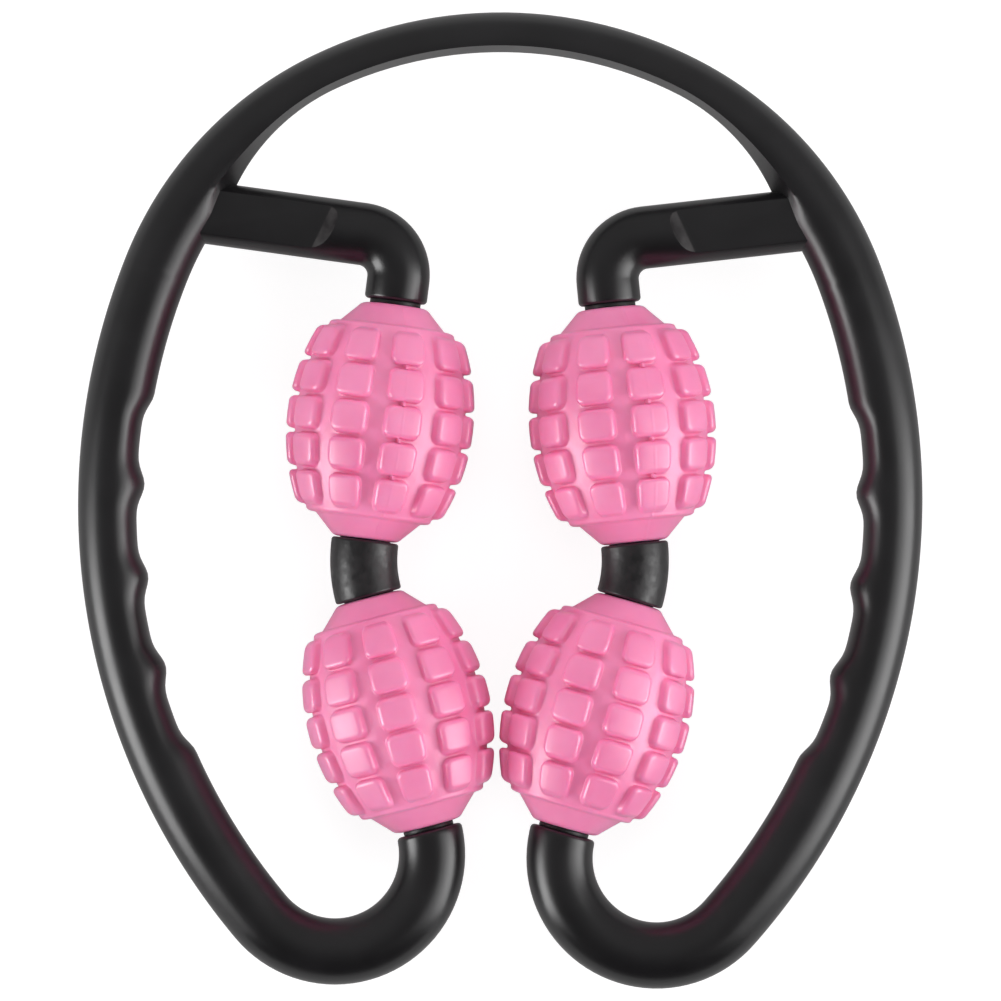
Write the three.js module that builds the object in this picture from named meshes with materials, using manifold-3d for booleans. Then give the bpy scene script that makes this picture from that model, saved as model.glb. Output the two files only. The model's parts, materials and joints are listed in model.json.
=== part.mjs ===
import * as THREE from 'three';
import { mergeVertices } from 'three/addons/utils/BufferGeometryUtils.js';
import Module from 'manifold-3d';

// A four-wheel massage roller, lying flat on its studs.
// Lengths are millimetres and angles are degrees. +Z is up, +Y runs from the curled
// ends of the hoop to its crown, and +X is to the right. The hoop, both arms and all
// four roller axes lie in one level plane, and the left half mirrors the right.

// Clearances
const runningGap = 0.3;
const pairGap = 0.4;
const cutOverrun = 2;

// Hoop: one tube whose centreline is four arcs on each side
const hoopTubeRadius = 8.5;
const crownRadius = 101.9;
const crownCentreY = 14.4;
const shoulderRadius = 88.4;
const shoulderStart = 63.5;
const sideRadius = 163.5;
const sideStart = 21;
const endLip = 1;

// Flat inner face of the crown, which fades into the round tube beside the arm
const crownFlatOffset = 1.6;
const flatFadeStart = 45;
const flatFadeLength = 45;

// Finger grooves on the inner side of each grip
const grooveCount = 4;
const groovePitch = 24.6;
const grooveDepth = 2;
const grooveTopY = 27.4;
const grooveCrestSharpness = 6;

// Arms, which carry the upper rollers
const armRadius = 8;
const armSlope = 7.1;
const armDrop = 15.9;
const armBendRadius = 10.5;
const recessDepth = 2.3;
const recessEnd = 22;
const recessRunout = 5;
const recessSkew = 18;

// Rollers: a barrel between two necks
const barrelRadius = 22.1;
const barrelArcRadius = 53;
const shoulderRim = 0.8;
const shoulderRimRadius = 16.2;
const shoulderFace = 1.3;
const shoulderRingRadius = 13.4;
const neckLength = 5.3;
const neckRadius = 9.2;
const neckRounding = 1.2;
const neckEndRadius = 8;
const lowerCentreY = -54.4;
const upperTilt = 6.5;
const lowerTilt = 15.2;

// Studs on each barrel
const studColumns = 10;
const studRows = 5;
const studRowPitch = 9.4;
const studRowGap = 1.2;
const studTurn = 25.5;
const studHeight = 2;
const studFlank = 0.4;
const studFlankShare = 0.6;
const studRounding = 1.5;
const studCorner = 2;

// Inside each roller
const axleRadius = 3;
const bushWall = 1.5;
const bushLength = 9;
const coreWall = 1.4;
const coreNeckLength = 3.6;
const coreShoulderAlong = 14;
const skinWall = 2.4;

// Axle, elbow and thrust washers
const axleSeat = 11;
const elbowBendRadius = 34;
const elbowRadius = 8.6;
const elbowLip = 0.8;
const washerRadius = 6.5;
const washerThickness = 0.5;

// Facets
const hoopSides = 16;
const armSides = 12;
const axleSides = 10;
const coreSides = 12;
const bushSides = 9;
const elbowSides = 12;
const crownSteps = 5;
const shoulderSteps = 4;
const sideSteps = 2;
const stepsPerGroove = 4;
const lowerSteps = 3;
const curlSteps = 4;
const armBendSteps = 5;
const elbowSteps = 3;

// Plane geometry. A bearing is an angle in radians, from +X towards +Y.
const rad = THREE.MathUtils.degToRad;
const quarterTurn = Math.PI / 2;

function go(from, distance, bearing) {
  return new THREE.Vector2(
    from.x + distance * Math.cos(bearing),
    from.y + distance * Math.sin(bearing),
  );
}

// Roller sizes that follow from the driving ones
const studTipRadius = barrelRadius + studHeight;
const halfBarrel = (studRows * studRowPitch) / 2;
const halfRoller = halfBarrel + shoulderFace + neckLength;
const endGap = washerThickness + 2 * runningGap;
const span = 2 * (halfRoller + endGap);

// Axes of the right-hand rollers. The lower pair is set apart by the pair gap, and an
// elbow of constant radius carries the axle from the lower roller to the upper one.
const upperLean = rad(upperTilt);
const lowerLean = rad(lowerTilt);
const upperUp = quarterTurn + upperLean;
const lowerUp = quarterTurn - lowerLean;
const barrelReach = barrelArcRadius - (barrelArcRadius - studTipRadius) * Math.cos(lowerLean);
const lowerCentre = new THREE.Vector2(barrelReach + pairGap / 2, lowerCentreY);
const hoopEnd = go(lowerCentre, -span / 2, lowerUp);
const elbowBottom = go(lowerCentre, span / 2, lowerUp);
const elbowCentre = go(elbowBottom, -elbowBendRadius, -lowerLean);
const elbowTop = go(elbowCentre, elbowBendRadius, upperLean);
const upperCentre = go(elbowTop, span / 2, upperUp);
const armEnd = go(elbowTop, span, upperUp);

// Centres of the hoop's arcs. Each arc is tangent to the next, and the curl ends
// square to the lower roller's axis.
const crownCentre = new THREE.Vector2(0, crownCentreY);
const shoulderCentre = go(crownCentre, crownRadius - shoulderRadius, rad(shoulderStart));
const sideCentre = go(shoulderCentre, shoulderRadius - sideRadius, rad(sideStart));
const curlAside = go(new THREE.Vector2(0, 0), 1, -lowerLean);
const curlOffset = hoopEnd.clone().sub(sideCentre);
const curlRadius = (sideRadius ** 2 - curlOffset.lengthSq())
  / (2 * (sideRadius + curlOffset.dot(curlAside)));
const curlCentre = hoopEnd.clone().addScaledVector(curlAside, curlRadius);
const curlStart = curlCentre.clone().sub(sideCentre).angle() - 2 * Math.PI;
const curlFinish = -Math.PI - lowerLean;

// Finishes
function finish(color, roughness, metalness) {
  return new THREE.MeshStandardMaterial({ color, roughness, metalness });
}
const framePlastic = () => finish(0x121214, 0.32, 0);
const softRubber = () => finish(0xec6fa4, 0.45, 0);
const corePlastic = () => finish(0x3a3a3e, 0.5, 0);
const bushPlastic = () => finish(0x1c1c1e, 0.4, 0);
const washerPlastic = () => finish(0x1a1a1c, 0.4, 0);
const axleSteel = () => finish(0x34343a, 0.35, 1);

// Solids for cutting and joining
const wasm = await Module();
wasm.setup();

function closed(geometry) {
  const bare = geometry.clone();
  bare.deleteAttribute('normal');
  bare.deleteAttribute('uv');
  return mergeVertices(bare);
}

function toSolid(geometry) {
  const merged = closed(geometry);
  return new wasm.Manifold(new wasm.Mesh({
    numProp: 3,
    vertProperties: new Float32Array(merged.attributes.position.array),
    triVerts: new Uint32Array(merged.index.array),
  }));
}

function toGeometry(solid) {
  const mesh = solid.getMesh();
  return surface(mesh.vertProperties, mesh.triVerts);
}

function surface(places, triangles) {
  const geometry = new THREE.BufferGeometry();
  geometry.setAttribute('position', new THREE.BufferAttribute(new Float32Array(places), 3));
  geometry.setIndex(Array.from(triangles));
  geometry.computeVertexNormals();
  return geometry;
}

// Lofts. A station is a place in the level plane with the bearing of travel there, and
// a section is a list of places measured to the right of travel and upwards.
function station(place, bearing) {
  return { x: place.x, y: place.y, bearing };
}

function ring(at, section) {
  return section.map(([right, up]) => new THREE.Vector3(
    at.x + right * Math.sin(at.bearing),
    at.y - right * Math.cos(at.bearing),
    up,
  ));
}

function loft(rings) {
  const sides = rings[0].length;
  const last = (rings.length - 1) * sides;
  const triangles = [];
  for (let row = 0; row < last; row += sides) {
    for (let side = 0; side < sides; side += 1) {
      const here = row + side;
      const beside = row + ((side + 1) % sides);
      triangles.push(here, here + sides, beside);
      triangles.push(beside, here + sides, beside + sides);
    }
  }
  for (let side = 1; side < sides - 1; side += 1) {
    triangles.push(0, side, side + 1);
    triangles.push(last, last + side + 1, last + side);
  }
  const places = rings.flat().flatMap((place) => place.toArray());
  return surface(places, triangles);
}

function circle(radius, sides) {
  const section = [];
  for (let side = 0; side < sides; side += 1) {
    const turn = (2 * Math.PI * side) / sides;
    section.push([radius * Math.cos(turn), radius * Math.sin(turn)]);
  }
  return section;
}

function bar(stations, radius, sides) {
  return loft(stations.map((at) => ring(at, circle(radius, sides))));
}

// Stations along an arc, from one bearing to another about its centre
function arcStations(centre, radius, from, to, steps) {
  const travel = Math.sign(to - from) * quarterTurn;
  const stations = [];
  for (let step = 0; step <= steps; step += 1) {
    const bearing = THREE.MathUtils.lerp(from, to, step / steps);
    const at = station(go(centre, radius, bearing), bearing + travel);
    stations.push({ ...at, onArc: bearing });
  }
  return stations;
}

// Hoop. Its section is a circle whose inner side is cut flat on the crown and pressed
// in by a wave of finger grooves on the grip.
function hoopSection(flat, groove, radius) {
  return circle(radius, hoopSides).map(([inward, up]) => {
    const facing = Math.max(inward / radius, 0);
    return [Math.min(inward, flat) - groove * facing, up];
  });
}

function crownFlat(run) {
  const share = THREE.MathUtils.clamp((run - flatFadeStart) / flatFadeLength, 0, 1);
  return THREE.MathUtils.lerp(crownFlatOffset, hoopTubeRadius, share ** 2);
}

function crownRings() {
  const start = rad(shoulderStart);
  const crown = arcStations(crownCentre, crownRadius, quarterTurn, start, crownSteps);
  const shoulder = arcStations(
    shoulderCentre, shoulderRadius, start, rad(sideStart), shoulderSteps);
  const crownRun = (at) => crownRadius * (quarterTurn - at.onArc);
  const shoulderRun = (at) => crownRadius * (quarterTurn - start)
    + shoulderRadius * (start - at.onArc);
  const dress = (at, run) => ({ at, section: hoopSection(crownFlat(run), 0, hoopTubeRadius) });
  return [
    ...crown.map((at) => dress(at, crownRun(at))),
    ...shoulder.slice(1).map((at) => dress(at, shoulderRun(at))),
  ];
}

function gripRings() {
  const grooveTop = Math.asin((grooveTopY - sideCentre.y) / sideRadius);
  const grooveTurn = groovePitch / sideRadius;
  const grooveFoot = grooveTop - grooveCount * grooveTurn;
  const part = (from, to, steps) => arcStations(sideCentre, sideRadius, from, to, steps).slice(1);
  const stations = [
    ...part(rad(sideStart), grooveTop, sideSteps),
    ...part(grooveTop, grooveFoot, grooveCount * stepsPerGroove),
    ...part(grooveFoot, curlStart, lowerSteps),
  ];
  return stations.map((at) => {
    const passed = THREE.MathUtils.clamp((grooveTop - at.onArc) / grooveTurn, 0, grooveCount);
    const crest = Math.abs(Math.cos(Math.PI * passed)) ** grooveCrestSharpness;
    const groove = grooveDepth * (1 - crest);
    return { at, section: hoopSection(hoopTubeRadius, groove, hoopTubeRadius) };
  });
}

// The curl has a ring at its lowest place, so that the outline reaches all the way down
function curlRings() {
  const full = hoopSection(hoopTubeRadius, 0, hoopTubeRadius);
  const lipTurn = endLip / curlRadius;
  const part = (from, to) => arcStations(curlCentre, curlRadius, from, to, curlSteps).slice(1);
  const curl = [
    ...part(curlStart, -quarterTurn),
    ...part(-quarterTurn, curlFinish + lipTurn),
  ];
  const endStation = station(hoopEnd, curlFinish - quarterTurn);
  const endSection = hoopSection(hoopTubeRadius, 0, hoopTubeRadius - endLip);
  return [
    ...curl.map((at) => ({ at, section: full })),
    { at: endStation, section: endSection },
  ];
}

function hoop() {
  const right = [...crownRings(), ...gripRings(), ...curlRings()];
  const left = right.slice(1).reverse().map(({ at, section }) => ({
    at: { x: -at.x, y: at.y, bearing: -at.bearing },
    section,
  }));
  return toSolid(loft([...left, ...right].map(({ at, section }) => ring(at, section))));
}

// Right arm: it leaves the hoop, runs inwards, and bends down onto the roller's axis
const armInward = Math.PI + rad(armSlope);
const armDown = upperUp + Math.PI;
const armCorner = go(armEnd, armDrop, upperUp);
const armBendTangent = armBendRadius * Math.tan((armDown - armInward) / 2);
const armBendStart = go(armCorner, -armBendTangent, armInward);

function armRoot() {
  const outward = go(new THREE.Vector2(0, 0), 1, rad(armSlope));
  const offset = armCorner.clone().sub(shoulderCentre);
  const along = offset.dot(outward);
  const reach = -along + Math.sqrt(along ** 2 - offset.lengthSq() + shoulderRadius ** 2);
  return armCorner.clone().addScaledVector(outward, reach);
}

function rightArm() {
  const bendCentre = go(armBendStart, armBendRadius, armInward + quarterTurn);
  const bend = arcStations(
    bendCentre, armBendRadius, armInward - quarterTurn, armDown - quarterTurn, armBendSteps);
  const round = circle(armRadius, armSides);
  const lipStation = station(go(armEnd, endLip, upperUp), armDown);
  return loft([
    ring(station(armRoot(), armInward), round),
    ...bend.map((at) => ring(at, round)),
    ring(lipStation, round),
    ring(station(armEnd, armDown), circle(armRadius - endLip, armSides)),
  ]);
}

// The recess in the top of an arm: a level floor that runs from inside the hoop to a
// skewed, sloping run-out. Seen from the side it is a wedge-ended slot.
function recessTool(side) {
  const floor = armRadius - recessDepth;
  const top = armRadius + cutOverrun;
  const start = -armRoot().distanceTo(armCorner);
  const slope = recessRunout / recessDepth;
  const slot = new THREE.Shape([
    new THREE.Vector2(start, floor),
    new THREE.Vector2(-recessEnd, floor),
    new THREE.Vector2(-recessEnd + slope * (top - floor), top),
    new THREE.Vector2(start, top),
  ]);
  const depth = 2 * (armRadius + cutOverrun);
  const tool = new THREE.ExtrudeGeometry(slot, { depth, bevelEnabled: false });
  tool.translate(0, 0, -depth / 2);
  tool.rotateX(quarterTurn);
  const skew = side * -Math.tan(rad(recessSkew));
  tool.applyMatrix4(new THREE.Matrix4().makeShear(0, 0, skew, 0, 0, 0));
  tool.rotateZ(side > 0 ? armInward : -rad(armSlope));
  tool.translate(side * armCorner.x, armCorner.y, 0);
  return toSolid(tool);
}

// A blind hole for one end of an axle
function socket(mouth, bearing) {
  const start = go(mouth, -cutOverrun, bearing);
  const end = go(mouth, axleSeat + runningGap, bearing);
  const stations = [station(start, bearing), station(end, bearing)];
  return bar(stations, axleRadius + runningGap, axleSides);
}

// Half a turn about +Y makes the left-hand copy of a shape that is the same above
// and below the level plane
function forSide(geometry, side) {
  return side > 0 ? geometry : geometry.clone().rotateY(Math.PI);
}

function handleFrame() {
  let frame = hoop();
  for (const side of [-1, 1]) {
    const arm = toSolid(forSide(rightArm(), side)).subtract(recessTool(side));
    frame = frame.add(arm);
  }
  for (const side of [-1, 1]) {
    const upper = socket(armEnd, upperUp);
    const lower = socket(hoopEnd, lowerUp + Math.PI);
    frame = frame.subtract(toSolid(forSide(upper, side)));
    frame = frame.subtract(toSolid(forSide(lower, side)));
  }
  return toGeometry(frame);
}

// Right axle: straight through each roller, and curved through the elbow
function rightAxle() {
  const down = upperUp + Math.PI;
  const bend = arcStations(elbowCentre, elbowBendRadius, upperLean, -lowerLean, elbowSteps);
  const end = station(go(hoopEnd, -axleSeat, lowerUp), lowerUp + Math.PI);
  const stations = [station(go(armEnd, axleSeat, upperUp), down), ...bend, end];
  return bar(stations, axleRadius, axleSides);
}

// A revolved piece about +Y. The profile is a closed list of places, each a radius
// and a height.
function revolved(profile, sides) {
  const points = [...profile, profile[0]].map(([radius, along]) => (
    new THREE.Vector2(radius, along)));
  return closed(new THREE.LatheGeometry(points, sides));
}

function sleeve(inner, outer, length, sides) {
  const half = length / 2;
  return revolved([[inner, -half], [outer, -half], [outer, half], [inner, half]], sides);
}

// Right elbow: a bored sleeve with rounded ends, turned straight and then bent round
// the elbow's centre
function rightElbow() {
  const bore = axleRadius + runningGap;
  const length = elbowBendRadius * (upperLean + lowerLean);
  const half = length / 2;
  const step = length / elbowSteps;
  const outside = [[elbowRadius - elbowLip, -half], [elbowRadius, -half + elbowLip]];
  const inside = [];
  for (let along = -half + step; along < half - step / 2; along += step) {
    outside.push([elbowRadius, along]);
    inside.unshift([bore, along]);
  }
  outside.push([elbowRadius, half - elbowLip], [elbowRadius - elbowLip, half]);
  const profile = [[bore, -half], ...outside, [bore, half], ...inside];
  const elbow = revolved(profile, elbowSides);
  const places = elbow.attributes.position;
  const middle = (upperLean - lowerLean) / 2;
  for (let i = 0; i < places.count; i += 1) {
    const bearing = middle + places.getY(i) / elbowBendRadius;
    const bent = go(elbowCentre, elbowBendRadius + places.getX(i), bearing);
    places.setXY(i, bent.x, bent.y);
  }
  elbow.computeVertexNormals();
  return elbow;
}

// Roller skin. Turn is the angle round the roller from +Z towards +X, and along is the
// height on its axis.
const skinBore = axleRadius + 2 * runningGap + bushWall + coreWall + runningGap;
const innerBarrel = barrelAt(coreShoulderAlong) - skinWall;
const columnTurn = (2 * Math.PI) / studColumns;

function barrelAt(along) {
  const drop = barrelArcRadius - Math.sqrt(barrelArcRadius ** 2 - along ** 2);
  return barrelRadius - drop;
}

// One stud is three outlines above the barrel: a square foot, a rounded shoulder with
// cut corners, and a level top. A share tells how far round the outline a point lies.
const footHalf = (studRowPitch - studRowGap) / 2;
const shoulderHalf = footHalf - studFlank;
const topHalf = shoulderHalf - studRounding;
const footHalfTurn = rad(studTurn) / 2;
const shoulderHalfTurn = footHalfTurn - studFlank / barrelRadius;
const topHalfTurn = shoulderHalfTurn - studRounding / barrelRadius;
const cornerTurn = studCorner / barrelRadius;
const edgeShare = 0.2;

function squareOutline(halfTurn, half, height) {
  return [
    { share: 0, turn: -halfTurn, along: -half, height },
    { share: 1, turn: halfTurn, along: -half, height },
    { share: 2, turn: halfTurn, along: half, height },
    { share: 3, turn: -halfTurn, along: half, height },
  ];
}

function cutOutline(halfTurn, half, cutTurn, cut, height) {
  const nearTurn = halfTurn - cutTurn;
  const near = half - cut;
  return [
    { share: edgeShare, turn: -nearTurn, along: -half, height },
    { share: 1 - edgeShare, turn: nearTurn, along: -half, height },
    { share: 1 + edgeShare, turn: halfTurn, along: -near, height },
    { share: 2 - edgeShare, turn: halfTurn, along: near, height },
    { share: 2 + edgeShare, turn: nearTurn, along: half, height },
    { share: 3 - edgeShare, turn: -nearTurn, along: half, height },
    { share: 3 + edgeShare, turn: -halfTurn, along: near, height },
    { share: 4 - edgeShare, turn: -halfTurn, along: -near, height },
  ];
}

const studFoot = squareOutline(footHalfTurn, footHalf, 0);
const studShoulder = cutOutline(
  shoulderHalfTurn, shoulderHalf, cornerTurn, studCorner, studHeight * studFlankShare);
const studTop = squareOutline(topHalfTurn, topHalf, studHeight);

// Fills the space between two outlines that run the same way round
function fillBetween(triangles, outer, inner) {
  const at = (loop, step) => loop[step % loop.length];
  const shareOf = (loop, step) => at(loop, step).share + 4 * Math.floor(step / loop.length);
  let out = 0;
  let into = 0;
  while (out < outer.length || into < inner.length) {
    const outerNext = shareOf(outer, out + 1);
    const innerNext = shareOf(inner, into + 1);
    const stepOut = into === inner.length || (out < outer.length && outerNext < innerNext);
    if (stepOut) {
      triangles.push(at(outer, out).point, at(outer, out + 1).point, at(inner, into).point);
      out += 1;
    } else {
      triangles.push(at(outer, out).point, at(inner, into + 1).point, at(inner, into).point);
      into += 1;
    }
  }
}

// Joins two rings of points, the first one below the second on an outer face
function band(triangles, first, second) {
  const count = first.length;
  for (let side = 0; side < count; side += 1) {
    const beside = (side + 1) % count;
    triangles.push(first[side], first[beside], second[beside]);
    triangles.push(first[side], second[beside], second[side]);
  }
}

function rollerSkin(phase) {
  const places = [];
  const triangles = [];
  const point = (turn, along, radius) => {
    places.push(radius * Math.sin(turn), along, radius * Math.cos(turn));
    return places.length / 3 - 1;
  };
  const skinRing = (along, radius, perColumn) => {
    const points = [];
    for (let step = 0; step < studColumns * perColumn; step += 1) {
      const turn = rad(phase) + columnTurn * (step / perColumn - 1 / 2);
      points.push(point(turn, along, radius));
    }
    return points;
  };
  const raise = (outline, turn, along) => outline.map((corner) => {
    const height = along + corner.along;
    const radius = barrelAt(height) + corner.height;
    return { share: corner.share, point: point(turn + corner.turn, height, radius) };
  });

  // Rings between the rows of studs. The first and last ring also have a point on
  // each column's middle, where the necks join them.
  const rowRings = [];
  for (let row = 0; row <= studRows; row += 1) {
    const along = row * studRowPitch - halfBarrel;
    const perColumn = row === 0 || row === studRows ? 2 : 1;
    rowRings.push(skinRing(along, barrelAt(along), perColumn));
  }
  const cellEdge = (points, column) => {
    const perColumn = points.length / studColumns;
    const edge = [];
    for (let step = 0; step <= perColumn; step += 1) {
      edge.push({ share: step / perColumn, point: points[(column * perColumn + step) % points.length] });
    }
    return edge;
  };

  // One stud in each cell
  for (let row = 0; row < studRows; row += 1) {
    const along = (row + 1 / 2) * studRowPitch - halfBarrel;
    for (let column = 0; column < studColumns; column += 1) {
      const turn = rad(phase) + column * columnTurn;
      const lower = cellEdge(rowRings[row], column);
      const upper = cellEdge(rowRings[row + 1], column).reverse();
      const cell = [
        ...lower,
        ...upper.map(({ share, point: number }) => ({ share: 3 - share, point: number })),
      ];
      const foot = raise(studFoot, turn, along);
      const shoulder = raise(studShoulder, turn, along);
      const top = raise(studTop, turn, along);
      fillBetween(triangles, cell, foot);
      fillBetween(triangles, foot, shoulder);
      fillBetween(triangles, shoulder, top);
      triangles.push(top[0].point, top[1].point, top[2].point);
      triangles.push(top[0].point, top[2].point, top[3].point);
    }
  }

  // Necks, end faces and the hollow for the core, from the top row round to the bottom
  const neckProfile = [
    [halfBarrel + shoulderRim, shoulderRimRadius],
    [halfBarrel + shoulderFace, shoulderRingRadius],
    [halfRoller - neckRounding, neckRadius],
    [halfRoller, neckEndRadius],
    [halfRoller, skinBore],
    [halfRoller - coreNeckLength, skinBore],
    [coreShoulderAlong, innerBarrel],
  ];
  const topRings = neckProfile.map(([along, radius]) => skinRing(along, radius, 2));
  const bottomRings = neckProfile.map(([along, radius]) => skinRing(-along, radius, 2));
  const rings = [rowRings[studRows], ...topRings, ...bottomRings.reverse(), rowRings[0]];
  for (let i = 0; i < rings.length - 1; i += 1) {
    band(triangles, rings[i], rings[i + 1]);
  }
  return surface(places, triangles);
}

// Roller core: a plastic barrel with a through bore, which fills the skin
function rollerCore() {
  const bore = axleRadius + 2 * runningGap + bushWall;
  const neck = bore + coreWall;
  const barrel = innerBarrel - runningGap;
  const neckStart = halfRoller - coreNeckLength;
  return revolved([
    [bore, -halfRoller],
    [neck, -halfRoller],
    [neck, -neckStart],
    [barrel, -coreShoulderAlong],
    [barrel, coreShoulderAlong],
    [neck, neckStart],
    [neck, halfRoller],
    [bore, halfRoller],
  ], coreSides);
}

function bush() {
  const bore = axleRadius + runningGap;
  return sleeve(bore, bore + bushWall, bushLength, bushSides);
}

function thrustWasher() {
  return sleeve(axleRadius + runningGap, washerRadius, washerThickness, bushSides);
}

// Assembly
function piece(name, geometry, material) {
  const mesh = new THREE.Mesh(geometry, material);
  mesh.name = name;
  return mesh;
}

function rollerGroup(name, centre, lean, phase) {
  const group = new THREE.Group();
  group.position.set(centre.x, centre.y, 0);
  group.rotation.z = lean;
  group.add(piece(`roller_skin_${name}`, rollerSkin(phase), softRubber()));
  group.add(piece(`roller_core_${name}`, rollerCore(), corePlastic()));
  for (const [end, sign] of [['top', 1], ['bottom', -1]]) {
    const sleeveBush = piece(`bush_${name}_${end}`, bush(), bushPlastic());
    sleeveBush.position.y = sign * (halfRoller - bushLength / 2);
    const washer = piece(`thrust_washer_${name}_${end}`, thrustWasher(), washerPlastic());
    washer.position.y = sign * (halfRoller + endGap / 2);
    group.add(sleeveBush, washer);
  }
  return group;
}

// How far each roller's first column of studs is turned from straight up
const studPhases = { upper_left: 16, upper_right: 18, lower_left: 0, lower_right: 18 };

const massageRoller = new THREE.Group();
massageRoller.add(piece('handle_frame', handleFrame(), framePlastic()));
for (const [hand, side] of [['left', -1], ['right', 1]]) {
  const upperAt = new THREE.Vector2(side * upperCentre.x, upperCentre.y);
  const lowerAt = new THREE.Vector2(side * lowerCentre.x, lowerCentre.y);
  const upperName = `upper_${hand}`;
  const lowerName = `lower_${hand}`;
  massageRoller.add(rollerGroup(upperName, upperAt, side * upperLean, studPhases[upperName]));
  massageRoller.add(rollerGroup(lowerName, lowerAt, -side * lowerLean, studPhases[lowerName]));
  massageRoller.add(piece(`axle_${hand}`, forSide(rightAxle(), side), axleSteel()));
  massageRoller.add(piece(`axle_elbow_${hand}`, forSide(rightElbow(), side), framePlastic()));
}

// The roller stands on the level tops of the studs that point straight down, and the
// origin is under the middle of its outline
const axleHeight = (barrelAt(topHalf) + studHeight) * Math.cos(topHalfTurn);
const outlineTop = crownCentreY + crownRadius + hoopTubeRadius;
const outlineBottom = curlCentre.y - curlRadius - hoopTubeRadius;
massageRoller.position.set(0, -(outlineTop + outlineBottom) / 2, axleHeight);

export default massageRoller;
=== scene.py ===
# %% [markdown]
# # A four-wheel massage roller
# A springy hoop carries two inner arms, and four studded rollers turn on two bent
# axles between the arms and the curled ends of the hoop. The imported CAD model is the
# frame of this scene: it gives every place and size, and nothing in it is moved.
# The hoop, the elbows, the washers and the soft roller skins are modelled again here
# with round sections and soft edges, because the CAD solids are faceted.

# %% Load the frame
import json
import math

import bmesh
import bpy
from mathutils import Matrix, Vector


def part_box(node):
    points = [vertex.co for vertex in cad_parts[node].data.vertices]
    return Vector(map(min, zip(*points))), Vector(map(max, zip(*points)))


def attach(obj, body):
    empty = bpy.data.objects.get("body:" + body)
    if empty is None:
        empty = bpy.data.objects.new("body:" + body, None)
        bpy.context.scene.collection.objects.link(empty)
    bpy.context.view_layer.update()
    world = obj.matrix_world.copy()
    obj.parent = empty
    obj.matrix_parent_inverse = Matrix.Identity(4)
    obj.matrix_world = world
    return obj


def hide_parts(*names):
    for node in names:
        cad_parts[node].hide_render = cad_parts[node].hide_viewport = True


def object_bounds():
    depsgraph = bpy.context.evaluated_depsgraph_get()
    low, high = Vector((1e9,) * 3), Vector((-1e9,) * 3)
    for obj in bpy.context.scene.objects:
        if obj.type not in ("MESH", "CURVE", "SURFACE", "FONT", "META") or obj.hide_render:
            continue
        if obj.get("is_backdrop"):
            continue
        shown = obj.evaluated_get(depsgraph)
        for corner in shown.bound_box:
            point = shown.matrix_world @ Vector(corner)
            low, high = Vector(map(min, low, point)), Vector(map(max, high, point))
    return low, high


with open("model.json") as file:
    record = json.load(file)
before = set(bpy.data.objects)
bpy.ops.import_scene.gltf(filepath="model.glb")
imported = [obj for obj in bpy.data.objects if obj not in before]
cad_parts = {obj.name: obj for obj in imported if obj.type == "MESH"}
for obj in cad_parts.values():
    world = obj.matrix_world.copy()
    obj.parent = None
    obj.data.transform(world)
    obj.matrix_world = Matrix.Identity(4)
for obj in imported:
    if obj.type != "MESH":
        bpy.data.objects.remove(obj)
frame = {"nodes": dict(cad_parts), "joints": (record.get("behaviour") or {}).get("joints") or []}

MM_PER_METRE = 1000

cad_low, cad_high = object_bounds()
print("size in mm:", [round(MM_PER_METRE * side, 2) for side in cad_high - cad_low])

# %% [markdown]
# ## Working in millimetres
# The real part is a few hand widths across, so its sizes read best in millimetres.
# Each mesh is modelled in millimetres and scaled once, when it becomes an object.
# The object itself stays at the origin, so that a pattern on Object coordinates
# keeps its scale and its place when the piece turns.

# %% A helper that turns a bmesh into a piece
METRES = 0.001
WELD = 0.002
SHARP_ANGLE = math.radians(34)


def finish_piece(bm, name, material, body, smooth_below=SHARP_ANGLE):
    """Turns a bmesh in millimetres into a smooth-shaded piece that rides on a body."""
    bmesh.ops.remove_doubles(bm, verts=bm.verts, dist=WELD)
    bmesh.ops.recalc_face_normals(bm, faces=bm.faces)
    bmesh.ops.scale(bm, vec=(METRES, METRES, METRES), verts=bm.verts)
    mesh = bpy.data.meshes.new(name)
    bm.to_mesh(mesh)
    bm.free()
    mesh.shade_smooth()
    mesh.set_sharp_from_angle(angle=smooth_below)
    mesh.materials.append(material)
    piece = bpy.data.objects.new(name, mesh)
    bpy.context.scene.collection.objects.link(piece)
    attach(piece, body)
    print(name, "has", len(mesh.polygons), "faces")
    return piece


print("points closer than", WELD, "mm are merged in every piece")

# %% [markdown]
# ## Small helpers for the operators
# Most operators return points, edges and faces in one list, and many take a whole
# mesh. Every rounded edge here is the same kind of bevel, with an even profile of 0.5
# and a material of -1, which keeps the material of the faces beside it. A cut draws a
# plane's line into the faces that it crosses and removes nothing. A Python set of
# edges has another order in each run, so repeats are dropped in a way that keeps it.

# %% Helpers for bmesh operators
CUT_SNAP = 0.0001


def everything(bm):
    """All points, edges and faces of a mesh."""
    return bm.verts[:] + bm.edges[:] + bm.faces[:]


def each_once(items):
    """The items without repeats, in the order in which they come."""
    return list(dict.fromkeys(items))


def points_in(geometry):
    """The points in an operator's result."""
    return [item for item in geometry if isinstance(item, bmesh.types.BMVert)]


def edges_in(geometry):
    """The edges in an operator's result."""
    return [item for item in geometry if isinstance(item, bmesh.types.BMEdge)]


def round_edges(bm, edges, width, segments, clamp=False):
    """Rounds edges with a bevel of that width."""
    bmesh.ops.bevel(bm, geom=edges, offset=width, segments=segments, profile=0.5,
                    affect="EDGES", clamp_overlap=clamp, material=-1)


def cut(bm, place, normal):
    """Draws the line of a plane into every face that it crosses."""
    bmesh.ops.bisect_plane(bm, geom=everything(bm), plane_co=place, plane_no=normal,
                           dist=CUT_SNAP)


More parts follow.
